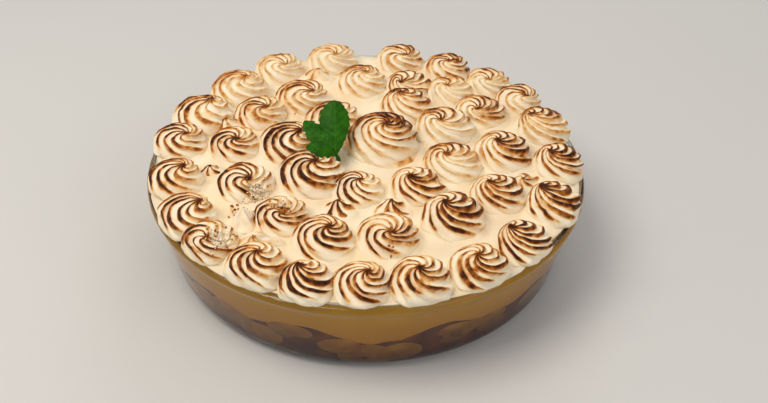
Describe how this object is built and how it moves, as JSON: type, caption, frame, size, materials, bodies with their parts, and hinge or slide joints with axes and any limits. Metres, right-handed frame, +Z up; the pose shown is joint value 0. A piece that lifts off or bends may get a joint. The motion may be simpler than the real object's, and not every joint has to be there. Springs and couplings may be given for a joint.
{
  "type": "banana meringue pie in a glass dish",
  "caption": "Round clear glass baking dish filled with caramelled banana, custard and a toasted topping of piped meringue rosettes with a sprig of mint.",
  "frame": {"origin": "centre of the dish's foot, on the surface it stands on", "axes": "+Z up along the dish's axis, -Y towards the side that is shown to the front, +X to the right of it"},
  "size_m": [0.2552, 0.2553, 0.0861],
  "materials": {
    "dish_glass": "clear pressed glass, polished, with a thin rolled lip",
    "caramelled_banana": "moist amber-brown banana in caramel, slightly glossy",
    "custard": "set yellow custard, smooth and moist",
    "meringue": "baked meringue, dry and fine-grained, pale cream",
    "toasted_meringue": "piped meringue, cream in the grooves and toasted brown on the ridges and tips",
    "mint_leaf": "fresh mint leaf, veined, slightly waxy"
  },
  "bodies": {
    "root": {"glass_dish": "dish_glass", "banana_layer": "caramelled_banana", "custard_layer": "custard", "meringue_bed": "meringue", "mint_sprig": "mint_leaf", "rosette_outer_1": "toasted_meringue", "rosette_outer_2": "toasted_meringue", "rosette_outer_3": "toasted_meringue", "rosette_outer_4": "toasted_meringue", "rosette_outer_5": "toasted_meringue", "rosette_outer_6": "toasted_meringue", "rosette_outer_7": "toasted_meringue", "rosette_outer_8": "toasted_meringue", "rosette_outer_9": "toasted_meringue", "rosette_outer_10": "toasted_meringue", "rosette_outer_11": "toasted_meringue", "rosette_outer_12": "toasted_meringue", "rosette_outer_13": "toasted_meringue", "rosette_outer_14": "toasted_meringue", "rosette_outer_15": "toasted_meringue", "rosette_outer_16": "toasted_meringue", "rosette_outer_17": "toasted_meringue", "rosette_outer_18": "toasted_meringue", "rosette_outer_19": "toasted_meringue", "rosette_outer_20": "toasted_meringue", "rosette_outer_21": "toasted_meringue", "rosette_middle_1": "toasted_meringue", "rosette_middle_2": "toasted_meringue", "rosette_middle_3": "toasted_meringue", "rosette_middle_4": "toasted_meringue", "rosette_middle_5": "toasted_meringue", "rosette_middle_6": "toasted_meringue", "rosette_middle_7": "toasted_meringue", "rosette_middle_8": "toasted_meringue", "rosette_middle_9": "toasted_meringue", "rosette_middle_10": "toasted_meringue", "rosette_middle_11": "toasted_meringue", "rosette_middle_12": "toasted_meringue", "rosette_middle_13": "toasted_meringue", "rosette_middle_14": "toasted_meringue", "rosette_inner_1": "toasted_meringue", "rosette_inner_2": "toasted_meringue", "rosette_inner_3": "toasted_meringue", "rosette_inner_4": "toasted_meringue", "rosette_inner_5": "toasted_meringue", "rosette_inner_6": "toasted_meringue", "rosette_inner_7": "toasted_meringue", "rosette_inner_8": "toasted_meringue", "rosette_centre_1": "toasted_meringue", "dab_1": "toasted_meringue", "dab_2": "toasted_meringue", "dab_3": "toasted_meringue", "dab_4": "toasted_meringue", "dab_5": "toasted_meringue", "dab_6": "toasted_meringue", "dab_7": "toasted_meringue", "dab_8": "toasted_meringue"}
  },
  "joints": []
}
